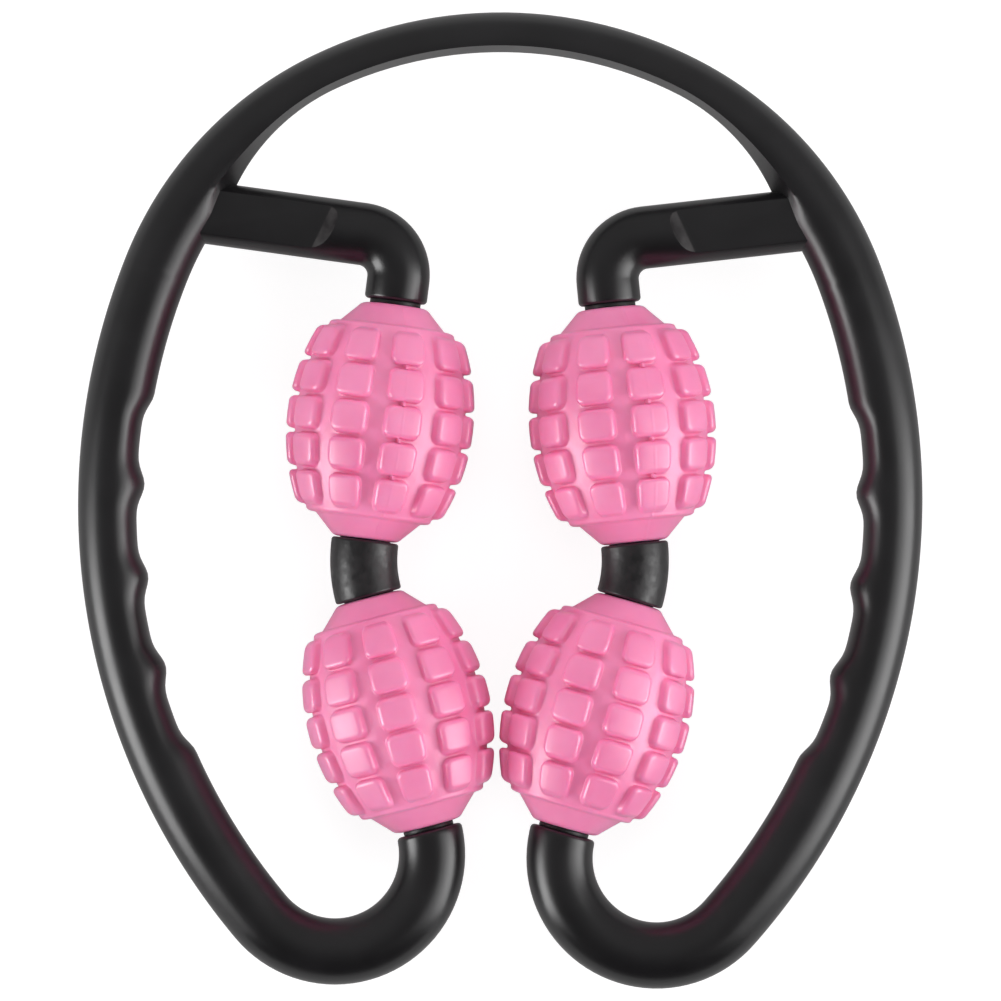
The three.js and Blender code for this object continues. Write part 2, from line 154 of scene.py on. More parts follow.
def mirror_half(bm, merge):
    """Adds the left half of a mesh, and merges points that meet in the middle."""
    bmesh.ops.mirror(bm, geom=everything(bm), matrix=Matrix.Identity(4),
                     merge_dist=merge, axis="X")


# %% [markdown]
# ## Finishes
# Each finish is one Principled BSDF. Its colour and roughness wander a little with a
# noise on Object coordinates, as they do on a real moulding, and a fine bump breaks
# up the reflections. The noise mostly lies in the middle of its range, so a band of
# it is stretched to the whole range of colours and of roughness. Object coordinates
# are in metres, so a noise scale of 400 has features of about 2.5 mm. Where a mesh has
# a value named polish, the surface is smoother there, like an edge that hands have
# rubbed. Light may also scatter inside a finish, and red light goes furthest.

# %% A finish maker
SCATTER_RADIUS, SCATTER_SCALE = (1.0, 0.3, 0.45), 0.001
COLOUR_BAND, ROUGH_BAND = (0.35, 0.65), (0.3, 0.7)


def make_finish(name, dark, light, rough, metallic=0.0, ior=1.5, patch=60.0,
                grain=900.0, grain_depth=0.00002, soft=0.0, polish=0.0):
    """A Principled material between two colours and roughnesses, with a fine grain."""
    material = bpy.data.materials.new(name)
    material.use_nodes = True
    nodes, links = material.node_tree.nodes, material.node_tree.links
    shader = nodes["Principled BSDF"]
    shader.inputs["Metallic"].default_value = metallic
    shader.inputs["IOR"].default_value = ior
    shader.inputs["Subsurface Weight"].default_value = soft
    shader.inputs["Subsurface Radius"].default_value = SCATTER_RADIUS
    shader.inputs["Subsurface Scale"].default_value = SCATTER_SCALE
    place = nodes.new("ShaderNodeTexCoord")
    patches = nodes.new("ShaderNodeTexNoise")
    patches.inputs["Scale"].default_value = patch
    patches.inputs["Detail"].default_value = 3.0
    links.new(place.outputs["Object"], patches.inputs["Vector"])
    colours = nodes.new("ShaderNodeValToRGB")
    for stop, position, colour in zip(colours.color_ramp.elements, COLOUR_BAND,
                                      (dark, light)):
        stop.position, stop.color = position, (*colour, 1)
    links.new(patches.outputs["Fac"], colours.inputs["Fac"])
    links.new(colours.outputs["Color"], shader.inputs["Base Color"])
    spread = nodes.new("ShaderNodeMapRange")
    for end, seen, given in zip(("Min", "Max"), ROUGH_BAND, rough):
        spread.inputs["From " + end].default_value = seen
        spread.inputs["To " + end].default_value = given
    links.new(patches.outputs["Fac"], spread.inputs["Value"])
    worn = nodes.new("ShaderNodeAttribute")
    worn.attribute_name = "polish"
    smoother = nodes.new("ShaderNodeMath")
    smoother.operation = "MULTIPLY_ADD"
    smoother.inputs[1].default_value = -polish
    links.new(worn.outputs["Fac"], smoother.inputs[0])
    links.new(spread.outputs["Result"], smoother.inputs[2])
    links.new(smoother.outputs[0], shader.inputs["Roughness"])
    fine = nodes.new("ShaderNodeTexNoise")
    fine.inputs["Scale"].default_value = grain
    fine.inputs["Detail"].default_value = 2.0
    links.new(place.outputs["Object"], fine.inputs["Vector"])
    bump = nodes.new("ShaderNodeBump")
    bump.inputs["Distance"].default_value = grain_depth
    links.new(fine.outputs["Fac"], bump.inputs["Height"])
    links.new(bump.outputs["Normal"], shader.inputs["Normal"])
    return material


# %% [markdown]
# The hoop is a satin black plastic, and the elbows are the same but more worn. The
# flats of the arms end in ramps with a rougher, lighter grey finish: partly scuffing,
# and partly painted highlight that stands in for the light the ramps catch. The roller
# skins are a soft pink rubber with a satin shine, and light scatters in it, which keeps
# its shadows pink. The gaps at the ends of the rollers look black in the photograph, so
# the washers, bushes and axles in them have dark finishes too. The cores, bushes and
# axles are plain round pieces, so they stay as the CAD made them and only get a finish.

# %% The finishes of this part
satin_black = make_finish("satin_black_plastic", (0.0036, 0.0031, 0.0038),
                          (0.0056, 0.0050, 0.0060), (0.29, 0.35), ior=1.6,
                          grain=1400.0, grain_depth=0.000009)
pink_rubber = make_finish("soft_pink_rubber", (0.88, 0.228, 0.450),
                          (0.96, 0.280, 0.512), (0.40, 0.48), ior=1.9, grain=1100.0,
                          grain_depth=0.00001, soft=0.5, polish=0.12)
worn_black = make_finish("worn_black_plastic", (0.0036, 0.0031, 0.0038),
                         (0.0090, 0.0080, 0.0090), (0.30, 0.56), ior=1.6, patch=380.0,
                         grain=620.0, grain_depth=0.00007)
# Painted highlight: the ramps' lighter grey is partly scuffing, and partly painted light
# standing in for the light the hollow ramps catch.
scuffed_and_painted_highlight_black = make_finish("scuffed_plastic_painted_highlight", (0.012, 0.010, 0.011),
                            (0.036, 0.033, 0.034), (0.45, 0.55), patch=280.0,
                            grain_depth=0.000009)
core_plastic = make_finish("grey_core_plastic", (0.04, 0.04, 0.045),
                           (0.06, 0.06, 0.065), (0.5, 0.62))
bush_plastic = make_finish("black_bush_plastic", (0.010, 0.010, 0.011),
                           (0.016, 0.016, 0.017), (0.4, 0.5))
washer_plastic = make_finish("black_washer_plastic", (0.010, 0.010, 0.011),
                             (0.016, 0.016, 0.017), (0.4, 0.5))
axle_steel = make_finish("blackened_axle_steel", (0.030, 0.030, 0.032),
                         (0.045, 0.045, 0.048), (0.34, 0.44), metallic=1.0,
                         grain=2200.0, grain_depth=0.000004)

for start, finish in (("axle", axle_steel), ("bush", bush_plastic),
                      ("roller_core", core_plastic)):
    dressed = [node for name, node in frame["nodes"].items() if name.startswith(start)]
    for node in dressed:
        node.data.materials.clear()
        node.data.materials.append(finish)
    print(finish.name, "on", len(dressed), "CAD pieces")

# %% [markdown]
# ## The line of the hoop
# Seen from above, each half of the hoop is four arcs, and each arc starts in the
# direction in which the one before it ends: a wide crown, a tighter shoulder, a long
# side for the hand, and a curl that ends square to the lower roller. The values are
# those of the CAD source, and only the tube is a hair thinner, to stay in its box. The
# rollers' places come from the frame's joints. From the centre of a roller it is half
# a span to the plastic beside each of its ends.

# %% Sizes of the hoop and where its arcs turn
TUBE, CAD_TUBE, HALF_SPAN = 8.47, 8.5, 31.2
CROWN_RADIUS, SHOULDER_RADIUS, SIDE_RADIUS = 101.9, 88.4, 163.5
SHOULDER_START, SIDE_START = math.radians(63.5), math.radians(21.0)
QUARTER = math.pi / 2
UP = Vector((0, 0, 1))

joints = {joint["name"]: joint for joint in frame["joints"]}


def roller_place(corner):
    """Centre in millimetres and unit axis of the roller at that corner."""
    joint = joints["spin_" + corner]
    return MM_PER_METRE * Vector(joint["pos_m"]), Vector(joint["axis"]).normalized()


def go(start, distance, bearing):
    """The place that far from start, at a bearing from +X towards +Y."""
    return start + distance * Vector((math.cos(bearing), math.sin(bearing), 0))


upper_centre, upper_axis = roller_place("upper_right")
lower_centre, lower_axis = roller_place("lower_right")
hoop_end = lower_centre - HALF_SPAN * lower_axis
elbow_bottom = lower_centre + HALF_SPAN * lower_axis
elbow_top = upper_centre - HALF_SPAN * upper_axis
arm_end = upper_centre + HALF_SPAN * upper_axis
lean = math.atan2(lower_axis.x, lower_axis.y)
upper_lean = -math.atan2(upper_axis.x, upper_axis.y)

hoop_high = MM_PER_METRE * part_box("handle_frame")[1]
crown_top = Vector((0, hoop_high.y - CAD_TUBE, upper_centre.z))
crown_centre = go(crown_top, -CROWN_RADIUS, QUARTER)
shoulder_centre = go(crown_centre, CROWN_RADIUS - SHOULDER_RADIUS, SHOULDER_START)
side_centre = go(shoulder_centre, SHOULDER_RADIUS - SIDE_RADIUS, SIDE_START)
aside = Vector((math.cos(lean), -math.sin(lean), 0))
to_end = hoop_end - side_centre
curl_radius = ((SIDE_RADIUS ** 2 - to_end.length_squared)
               / (2 * (SIDE_RADIUS + to_end.dot(aside))))
curl_centre = hoop_end + curl_radius * aside
to_curl = curl_centre - side_centre
curl_start = math.atan2(to_curl.y, to_curl.x)
curl_finish = -math.pi - lean
print("curl radius", round(curl_radius, 2), "mm, centre",
      [round(value, 2) for value in curl_centre])

# %% [markdown]
# ## Sweeping the tube
# A tube that follows arcs is what the spin operator is for. It starts from one
# circle of edges at the crown, and every spin turns the last circle about the centre
# of the next arc and leaves a wall behind it.

# %% Spin one half of the hoop
HOOP_SIDES = 48


def open_circle(bm, centre, forward, radius, sides):
    """A ring of edges round centre, square to the direction forward."""
    turn = forward.to_track_quat("Z", "Y").to_matrix().to_4x4()
    made = bmesh.ops.create_circle(bm, segments=sides, radius=radius,
                                   matrix=Matrix.Translation(centre) @ turn)
    return each_once(edge for vert in made["verts"] for edge in vert.link_edges)


def spin_on(bm, ring, centre, angle, steps):
    """Turns the ring about a centre and returns the ring at the far end."""
    made = bmesh.ops.spin(bm, geom=ring, cent=centre, axis=UP, angle=angle, steps=steps,
                          use_merge=False)
    return edges_in(made["geom_last"])


def spin_half_hoop():
    """The right half, from the middle of the crown to the end of the curl."""
    bm = bmesh.new()
    ring = open_circle(bm, crown_top, Vector((1, 0, 0)), TUBE, HOOP_SIDES)
    for centre, start, finish, steps in (
            (crown_centre, QUARTER, SHOULDER_START, 14),
            (shoulder_centre, SHOULDER_START, SIDE_START, 40),
            (side_centre, SIDE_START, curl_start, 116),
            (curl_centre, curl_start, curl_finish, 40)):
        ring = spin_on(bm, ring, centre, finish - start, steps)
    return bm, ring


hoop, end_ring = spin_half_hoop()
print("half a hoop:", len(hoop.faces), "faces")

# %% [markdown]
# ## Where a point of the tube lies
# The round tube is about to get its special faces: facets inside the crown and finger
# grooves in the grip. Both are a move of the points that face inwards, so first it
# has to be told on which arc a point lies, and at which bearing from the arc's centre.

# %% Tell the arc of a point
BEARING_SLACK, WELL_INSIDE = 1e-5, 12


def arc_place(co):
    """Which arc a point of the tube belongs to: its centre, radius and bearing."""
    for name, centre, radius, first, last in (
            ("crown", crown_centre, CROWN_RADIUS, SHOULDER_START, math.pi),
            ("shoulder", shoulder_centre, SHOULDER_RADIUS, SIDE_START, SHOULDER_START),
            ("side", side_centre, SIDE_RADIUS, curl_start, SIDE_START)):
        offset = co - centre
        bearing = math.atan2(offset.y, offset.x)
        if (first - BEARING_SLACK <= bearing <= last + BEARING_SLACK
                and math.hypot(*offset.xy) > radius - WELL_INSIDE):
            return name, centre, radius, bearing
    return "curl", curl_centre, curl_radius, 0.0


print("the crown's top lies on the", arc_place(crown_top)[0])

# %% [markdown]
# ## The facets inside the crown
# Over the crown the inner side of the tube is two flat facets that meet in the
# mould's parting line. They grow back to the full round tube where the arm leaves.
# The facets take the inner third of the points, and the round back the others.

# %% Shape of the crown's section
FACET_SHARE = 1 / 3
CROWN_PARTING, CROWN_RIDGE, RIDGE_BY_ARM = 1.75, 0.65, 3.0
FADE_START, FADE_LENGTH = 45.0, 45.0
ROUND_START, ROUND_LENGTH = 84.0, 12.0


def smooth_share(value):
    """0 to 1 with a soft start and finish."""
    value = min(max(value, 0.0), 1.0)
    return value * value * (3 - 2 * value)


def crown_section(turn, run):
    """Inward and upward place of the point at that turn from the inner side."""
    share = min(max((run - FADE_START) / FADE_LENGTH, 0.0), 1.0)
    parting = CROWN_PARTING + (TUBE - CROWN_PARTING) * share ** 2
    ridge_in = CROWN_RIDGE + (RIDGE_BY_ARM - CROWN_RIDGE) * smooth_share(share)
    ridge = math.acos(ridge_in / TUBE)
    facet_turn = math.pi * FACET_SHARE
    if turn <= facet_turn:
        part = turn / facet_turn
        round_in = TUBE * math.cos(ridge * part)
        round_up = TUBE * math.sin(ridge * part)
        flat_in = parting + (ridge_in - parting) * part
        flat_up = TUBE * math.sin(ridge) * part
        flatness = 1 - smooth_share((run - ROUND_START) / ROUND_LENGTH)
        return (round_in + (flat_in - round_in) * flatness,
                round_up + (flat_up - round_up) * flatness)
    part = (turn - facet_turn) / (math.pi - facet_turn)
    angle = ridge + (math.pi - ridge) * part
    return TUBE * math.cos(angle), TUBE * math.sin(angle)


print("tube's middle to parting line:", round(crown_section(0, 0)[0], 2), "mm")

# %% [markdown]
# ## The finger grooves
# On the grip the inner side has four grooves, wide in the trough and narrow at the
# crest. The size of a cosine peaks at equal steps along the side, and a high power
# of it makes the crests narrow. The move fades out towards the middle of the tube.

# %% Move the points of the tube
GROOVES, GROOVE_PITCH, GROOVE_DEPTH, GROOVE_TOP = 4, 24.6, 2.0, 13.0
CREST_SHARPNESS = 6


def dress_hoop(bm):
    """Moves the inner points of the tube to the facets and the grooves."""
    groove_top = math.asin((crown_centre.y + GROOVE_TOP - side_centre.y) / SIDE_RADIUS)
    moved = 0
    for vert in bm.verts:
        name, centre, radius, bearing = arc_place(vert.co)
        if name == "curl":
            continue
        outward = go(Vector(), 1, bearing)
        inward = radius - (vert.co - centre).dot(outward)
        up = vert.co.z - centre.z
        if name == "side":
            passed = (groove_top - bearing) * SIDE_RADIUS / GROOVE_PITCH
            passed = min(max(passed, 0.0), GROOVES)
            crest = abs(math.cos(math.pi * passed)) ** CREST_SHARPNESS
            inward -= GROOVE_DEPTH * (1 - crest) * max(inward / TUBE, 0.0)
        else:
            run = CROWN_RADIUS * (QUARTER - max(bearing, SHOULDER_START))
            if name == "shoulder":
                run += SHOULDER_RADIUS * (SHOULDER_START - bearing)
            turn = abs(math.atan2(up, inward))
            side = math.copysign(1.0, up)
            inward, up = crown_section(turn, run)
            up *= side
        vert.co = centre + (radius - inward) * outward + up * UP
        moved += 1
    return moved


print("points set on the crown, shoulder and side:", dress_hoop(hoop))

# %% [markdown]
# ## The end of the curl
# The tube ends flat, with a small round lip, and has a blind hole in which the axle
# sits. The end is filled with one face, its rim is bevelled, and the hole is an
# inset that is pushed in.

# %% Close the end with a lip and a socket
LIP, SOCKET_RADIUS, SOCKET_DEPTH = 1.0, 3.3, 11.3
FEW_SIDES = 8


def face_nearest(bm, place):
    """The many-sided face whose middle is nearest to a place."""
    return min((face for face in bm.faces if len(face.verts) > FEW_SIDES),
               key=lambda face: (face.calc_center_median() - place).length)


def close_with_socket(bm, ring, mouth, inward):
    """Fills the ring round a mouth, rounds its rim and pushes a socket in from it."""
    cap = bmesh.ops.contextual_create(bm, geom=ring)["faces"][0]
    radius = max((vert.co - mouth).length for vert in cap.verts)
    round_edges(bm, cap.edges[:], LIP, 4)
    bmesh.ops.inset_region(bm, faces=[face_nearest(bm, mouth)],
                           thickness=radius - LIP - SOCKET_RADIUS)
    pushed = bmesh.ops.extrude_discrete_faces(bm, faces=[face_nearest(bm, mouth)])
    bmesh.ops.translate(bm, verts=pushed["faces"][0].verts, vec=SOCKET_DEPTH * inward)


close_with_socket(hoop, end_ring, hoop_end, -lower_axis)
mirror_half(hoop, 5 * WELD)
print("whole hoop:", len(hoop.faces), "faces")

# %% [markdown]
# ## The arms
# An arm is the same kind of tube: straight from inside the hoop, then bent down onto
# the roller's axis. Two straight lines meet in the arm's corner, and the bend touches
# both. The root lies on the tube's middle line, so the arm starts inside the hoop.

# %% Sizes and places of the right arm
ARM, ARM_SIDES, ARM_BEND_STEPS = 8.0, 64, 18
ARM_SLOPE, ARM_DROP, ARM_BEND = math.radians(7.1), 15.9, 10.5

arm_inward = math.pi + ARM_SLOPE
arm_down = upper_lean + QUARTER + math.pi
arm_corner = arm_end + ARM_DROP * upper_axis
bend_tangent = ARM_BEND * math.tan((arm_down - arm_inward) / 2)
bend_start = go(arm_corner, -bend_tangent, arm_inward)
bend_centre = go(bend_start, ARM_BEND, arm_inward + QUARTER)
outward = go(Vector(), 1, ARM_SLOPE)
corner_offset = arm_corner - shoulder_centre
along = corner_offset.dot(outward)
to_root = math.sqrt(along ** 2 - corner_offset.length_squared + SHOULDER_RADIUS ** 2)
arm_root = arm_corner + outward * (-along + to_root)
print("arm, root to corner:", round((arm_root - arm_corner).length, 1), "mm")

# %% [markdown]
# ## The tube of the arm
# A filled circle at the root is pulled to the start of the bend, spun through it and
# pulled on to the end, which gets the same lip and socket as the end of the hoop.

# %% Build the tube of the right arm
def extrude_ring(bm, ring, move):
    """Pulls a ring of edges along a straight line and returns the new ring."""
    made = bmesh.ops.extrude_edge_only(bm, edges=ring)["geom"]
    bmesh.ops.translate(bm, verts=points_in(made), vec=move)
    return [edge for edge in edges_in(made) if edge.is_boundary]


def middle_of(ring):
    """The middle of a ring of edges."""
    return sum((v.co for edge in ring for v in edge.verts), Vector()) / (2 * len(ring))


def build_arm():
    """The right arm, closed at its root, and the open ring at its end."""
    bm = bmesh.new()
    ring = open_circle(bm, arm_root, -outward, ARM, ARM_SIDES)
    bmesh.ops.contextual_create(bm, geom=ring)
    ring = extrude_ring(bm, ring, bend_start - arm_root)
    ring = spin_on(bm, ring, bend_centre, arm_down - arm_inward, ARM_BEND_STEPS)
    return bm, extrude_ring(bm, ring, arm_end - middle_of(ring))


arm, arm_ring = build_arm()
close_with_socket(arm, arm_ring, arm_end, upper_axis)
bmesh.ops.recalc_face_normals(arm, faces=arm.faces)
print("right arm before the cut:", len(arm.faces), "faces")

# %% [markdown]
# ## The flat on the arm
# The arm's upper side is cut to a level flat that ends in a skewed, hollow ramp. Each
# plane draws its line, the faces above all of them are deleted, and the holes are
# filled one by one. A fine bevel breaks the edges and catches the light.

# %% Cut the flat and its ramp
FLAT_DEPTH, FLAT_END, FLAT_SKEW = 2.3, 22.0, math.radians(18)
RAMP_LENGTH, RAMP_CHORDS = 4.0, 5
EDGE_BREAK, ON_PLANE = 0.3, 0.002


def height(co, plane):
    """How far a place is above a plane, which is a place on it and its normal."""
    return (co - plane[0]).dot(plane[1])


def flat_planes():
    """The level floor, and the short chords of the hollow ramp at its end."""
    floor_at = arm_corner + (ARM - FLAT_DEPTH) * UP
    skewed = go(Vector(), 1, ARM_SLOPE + QUARTER + FLAT_SKEW)
    inwards = skewed.cross(-UP)
    ramp_at = floor_at + FLAT_END * outward
    ramp_radius = (RAMP_LENGTH ** 2 + FLAT_DEPTH ** 2) / (2 * FLAT_DEPTH)
    ramp_turn = math.asin(RAMP_LENGTH / ramp_radius)
    planes = [(floor_at, UP)]
    for step in range(RAMP_CHORDS):
        first, slope = (ramp_turn * (step + part) / RAMP_CHORDS for part in (0, 0.5))
        place = ramp_at + ramp_radius * (math.sin(first) * inwards
                                         + (1 - math.cos(first)) * UP)
        planes.append((place, math.cos(slope) * UP - math.sin(slope) * inwards))
    return planes


def cut_arm_flat(bm):
    """Cuts the level flat and its hollow ramp out of the top of the arm."""
    planes = flat_planes()
    for place, normal in planes:
        cut(bm, place, normal)

    def lies_on(vert, *chosen):
        return all(abs(height(vert.co, plane)) < ON_PLANE for plane in chosen)

    above = [face for face in bm.faces
             if all(height(face.calc_center_median(), plane) > 0 for plane in planes)]
    bmesh.ops.delete(bm, geom=above, context="FACES")
    rim = [edge for edge in bm.edges if edge.is_boundary]
    rim_verts = each_once(vert for edge in rim for vert in edge.verts)
    lines = []
    for pair in zip(planes, planes[1:]):
        corners = [vert for vert in rim_verts if lies_on(vert, *pair)]
        lines += bmesh.ops.contextual_create(bm, geom=corners)["edges"]
    print("chord lines across the ramp:", len(lines))
    for plane in planes:
        outline = [edge for edge in rim + lines
                   if all(lies_on(vert, plane) for vert in edge.verts)]
        bmesh.ops.contextual_create(bm, geom=outline)
    round_edges(bm, rim, EDGE_BREAK, 2, clamp=True)


cut_arm_flat(arm)
mirror_half(arm, WELD / 2)
print("two arms:", len(arm.faces), "faces")

# %% [markdown]
# ## One moulding
# On the real part the hoop and its arms are one moulding, with a crisp crease where
# they meet. A Boolean union joins the two closed shells, so nothing is left inside.
# The faces of the ramps are then found again and take the scuffed finish, whose lighter grey is
# partly painted highlight.

# %% Join the arms to the hoop
RAMP_NEAR, RAMP_FACING, RAMP_REACH = 0.005, 0.999, FLAT_END + 5


def scratch_object(bm, name):
    """An object in millimetres that is only used to cut or join."""
    bmesh.ops.recalc_face_normals(bm, faces=bm.faces)
    mesh = bpy.data.meshes.new(name)
    bm.to_mesh(mesh)
    bm.free()
    made = bpy.data.objects.new(name, mesh)
    bpy.context.scene.collection.objects.link(made)
    return made


def union(first, second):
    """The union of two scratch objects as a new bmesh; both objects are removed."""
    modifier = first.modifiers.new("union", "BOOLEAN")
    modifier.operation, modifier.solver, modifier.object = "UNION", "EXACT", second
    bpy.context.view_layer.update()
    joined = bmesh.new()
    depsgraph = bpy.context.evaluated_depsgraph_get()
    joined.from_mesh(first.evaluated_get(depsgraph).to_mesh())
    for used in (first, second):
        bpy.data.objects.remove(used)
    return joined


def mark_ramps(bm):
    """Gives the faces of both ramps the second material, and counts them."""
    marked = 0
    for face in bm.faces:
        centre, normal = face.calc_center_median(), face.normal.copy()
        if centre.x < 0:
            centre.x, normal.x = -centre.x, -normal.x
        for plane in flat_planes()[2:]:
            if (abs(height(centre, plane)) < RAMP_NEAR
                    and normal.dot(plane[1]) > RAMP_FACING
                    and (centre - arm_corner).length < RAMP_REACH):
                face.material_index = 1
                marked += 1
    return marked


handle = union(scratch_object(hoop, "hoop_blank"), scratch_object(arm, "arm_blank"))
open_edges = sum(not edge.is_manifold for edge in handle.edges)
print("handle frame:", len(handle.faces), "faces,", open_edges, "open edges")
handle.normal_update()
print("ramp faces:", mark_ramps(handle))
handle_piece = finish_piece(handle, "handle_frame_moulding", satin_black, "frame")
# The ramp faces take the lighter grey finish, which is partly a painted highlight.
handle_piece.data.materials.append(scuffed_and_painted_highlight_black)
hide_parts("handle_frame")

# %% [markdown]
# ## The elbows
# Between the rollers of one side sits a short bent sleeve on the axle. Its ends reach
# almost to the rollers, and a shallow pocket in each end takes the washer. A circle
# for the outside and one for the bore are spun about the centre of the bend, and each
# end is extruded and bridged from the outside to the pocket and on to the bore.

# %% Spin the elbows
ELBOW, ELBOW_BORE, ELBOW_BEND = 8.6, 3.3, 34.0
ELBOW_SIDES, ELBOW_STEPS = 56, 12
ELBOW_REACH, POCKET, POCKET_DEPTH = 0.85, 6.8, 0.82
ELBOW_LIP, POCKET_LIP = 0.7, 0.15


def close_elbow_end(bm, outer, bore, outwards):
    """Pulls one end out and makes its pocket. Returns the rims to round."""
    outer = extrude_ring(bm, outer, ELBOW_REACH * outwards)
    bore = extrude_ring(bm, bore, (ELBOW_REACH - POCKET_DEPTH) * outwards)
    floor = open_circle(bm, middle_of(bore), outwards, POCKET, ELBOW_SIDES)
    bmesh.ops.bridge_loops(bm, edges=bore + floor)
    mouth = extrude_ring(bm, floor, POCKET_DEPTH * outwards)
    bmesh.ops.bridge_loops(bm, edges=outer + mouth)
    return outer, mouth


def build_elbow():
    """The right elbow, from the upper roller down to the lower one."""
    bm = bmesh.new()
    centre = elbow_bottom - ELBOW_BEND * aside
    turn = -(upper_lean + lean)
    outer = open_circle(bm, elbow_top, -upper_axis, ELBOW, ELBOW_SIDES)
    bore = open_circle(bm, elbow_top, -upper_axis, ELBOW_BORE, ELBOW_SIDES)
    outer_end = spin_on(bm, outer, centre, turn, ELBOW_STEPS)
    bore_end = spin_on(bm, bore, centre, turn, ELBOW_STEPS)
    top_rim, top_mouth = close_elbow_end(bm, outer, bore, upper_axis)
    low_rim, low_mouth = close_elbow_end(bm, outer_end, bore_end, -lower_axis)
    round_edges(bm, top_rim + low_rim, ELBOW_LIP, 4)
    round_edges(bm, top_mouth + low_mouth, POCKET_LIP, 4)
    print("elbow open edges:", sum(not edge.is_manifold for edge in bm.edges))
    return bm


for hand in ("left", "right"):
    elbow = build_elbow()
    if hand == "left":
        bmesh.ops.scale(elbow, vec=(-1, 1, 1), verts=elbow.verts)
    piece = finish_piece(elbow, f"elbow_sleeve_{hand}", worn_black, "frame")
    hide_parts(f"axle_elbow_{hand}")

# %% [markdown]
# ## The thrust washers
# A black washer keeps each roller end off the plastic beside it. It is a flat ring:
# two circles bridged to a sheet, pulled to its thickness, with its outer rims broken.
# Here it nearly fills its gap, as in the photograph, so no light shows between it and
# the roller.

# %% Make the eight washers
WASHER_RADIUS, WASHER_BORE, WASHER_THICKNESS, WASHER_RIM = 6.5, 3.3, 1.0, 0.12
WASHER_SIDES, WASHER_CORNER, END_GAP = 48, 1.0, 1.1


def build_washer(middle, axis):
    """A flat ring round an axis, with its middle at a place."""
    bm = bmesh.new()
    start = middle - WASHER_THICKNESS / 2 * axis
    outer = open_circle(bm, start, axis, WASHER_RADIUS, WASHER_SIDES)
    inner = open_circle(bm, start, axis, WASHER_BORE, WASHER_SIDES)
    sheet = bmesh.ops.bridge_loops(bm, edges=outer + inner)["faces"]
    pulled = bmesh.ops.extrude_face_region(bm, geom=sheet, use_keep_orig=True)["geom"]
    bmesh.ops.translate(bm, verts=points_in(pulled), vec=WASHER_THICKNESS * axis)
    half_way = (WASHER_RADIUS + WASHER_BORE) / 2
    rims = [edge for edge in bm.edges if edge.calc_face_angle(0) > WASHER_CORNER
            and (edge.verts[0].co - middle).length > half_way]
    round_edges(bm, rims, WASHER_RIM, 2)
    return bm


for corner in ("upper_left", "upper_right", "lower_left", "lower_right"):
    centre, axis = roller_place(corner)
    for end, sign in (("top", 1), ("bottom", -1)):
        washer = build_washer(centre + sign * (HALF_SPAN - END_GAP / 2) * axis, axis)
        piece = finish_piece(washer, f"washer_ring_{corner}_{end}", washer_plastic,
                             "frame")
        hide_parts(f"thrust_washer_{corner}_{end}")

# %% [markdown]
# ## The studded skins
# A roller skin is a soft barrel with ten columns of five square studs. One stud is
# easiest to make flat: a rectangle, inset and extruded to a block, with its corners,
# rim and foot bevelled. Its rounded rim is marked as polished, because in the
# photograph it glints and the top does not. Five of these in a row make a flat
# column, which is then rolled onto the barrel, and nine turned copies complete it.
# Cuts across the flat column let it follow the curve.

# %% One flat stud
BARREL, BARREL_ARC, COLUMNS, ROWS = 21.6, 53.0, 10, 5
ROW_PITCH, ROW_GAP = 9.4, 0.9
STUD_HEIGHT, STUD_FLANK, LEVEL_TURN = 2.22, 0.35, math.radians(4)
STUD_CORNER, STUD_RIM, STUD_FOOT = 2.0, 1.1, 0.3
FIRST_INSET, CREASE, LEVEL = 0.3, 0.3, 0.01
CELL_WIDTH = 2 * math.pi * BARREL / COLUMNS
FOOT_WIDTH = math.radians(25.5) * BARREL
FOOT_LENGTH = ROW_PITCH - ROW_GAP


def flat_stud():
    """One cell of the skin, with its stud standing up along +Z."""
    bm = bmesh.new()
    bmesh.ops.create_grid(bm, x_segments=1, y_segments=1, size=0.5)
    bmesh.ops.scale(bm, vec=(CELL_WIDTH, ROW_PITCH, 1), verts=bm.verts)
    foot = bm.faces[:]
    bmesh.ops.inset_region(bm, faces=foot, thickness=FIRST_INSET, use_boundary=True)
    width, length = (2 * max(abs(v.co[axis]) for v in foot[0].verts) for axis in (0, 1))
    bmesh.ops.scale(bm, vec=(FOOT_WIDTH / width, FOOT_LENGTH / length, 1),
                    verts=foot[0].verts)
    top = bmesh.ops.extrude_discrete_faces(bm, faces=foot)["faces"][0]
    bmesh.ops.translate(bm, verts=top.verts, vec=(0, 0, STUD_HEIGHT))
    bmesh.ops.scale(bm, vec=(1 - 2 * STUD_FLANK / FOOT_WIDTH,
                             1 - 2 * STUD_FLANK / FOOT_LENGTH, 1), verts=top.verts)

    def creases(test):
        return [edge for edge in bm.edges if test(*(vert.co.z for vert in edge.verts))
                and len(edge.link_faces) == 2 and edge.calc_face_angle(0) > CREASE]

    round_edges(bm, creases(lambda a, b: abs(a - b) > STUD_HEIGHT / 2), STUD_CORNER, 5)
    round_edges(bm, creases(lambda a, b: min(a, b) > STUD_HEIGHT - LEVEL), STUD_RIM, 6)
    round_edges(bm, creases(lambda a, b: max(a, b) < LEVEL), STUD_FOOT, 2)
    polish = bm.verts.layers.float.new("polish")
    for vert in bm.verts:
        vert[polish] = float(STUD_HEIGHT / 3 < vert.co.z < STUD_HEIGHT - LEVEL / 10)
    return bm


stud = flat_stud()
print("one flat stud:", len(stud.faces), "faces")

# %% [markdown]
# The rolling is a plain move of the points: along the column they keep their place,
# and their height above the sheet becomes a radius. The tops stay nearly level, so
# their radius grows a little towards the edges of a stud.

# %% Roll a column onto the barrel
STRIPS_ACROSS, STRIPS_ALONG = 8, 4


def barrel_at(along):
    """Radius of the barrel at a place on its axis."""
    return BARREL - (BARREL_ARC - math.sqrt(BARREL_ARC ** 2 - along ** 2))


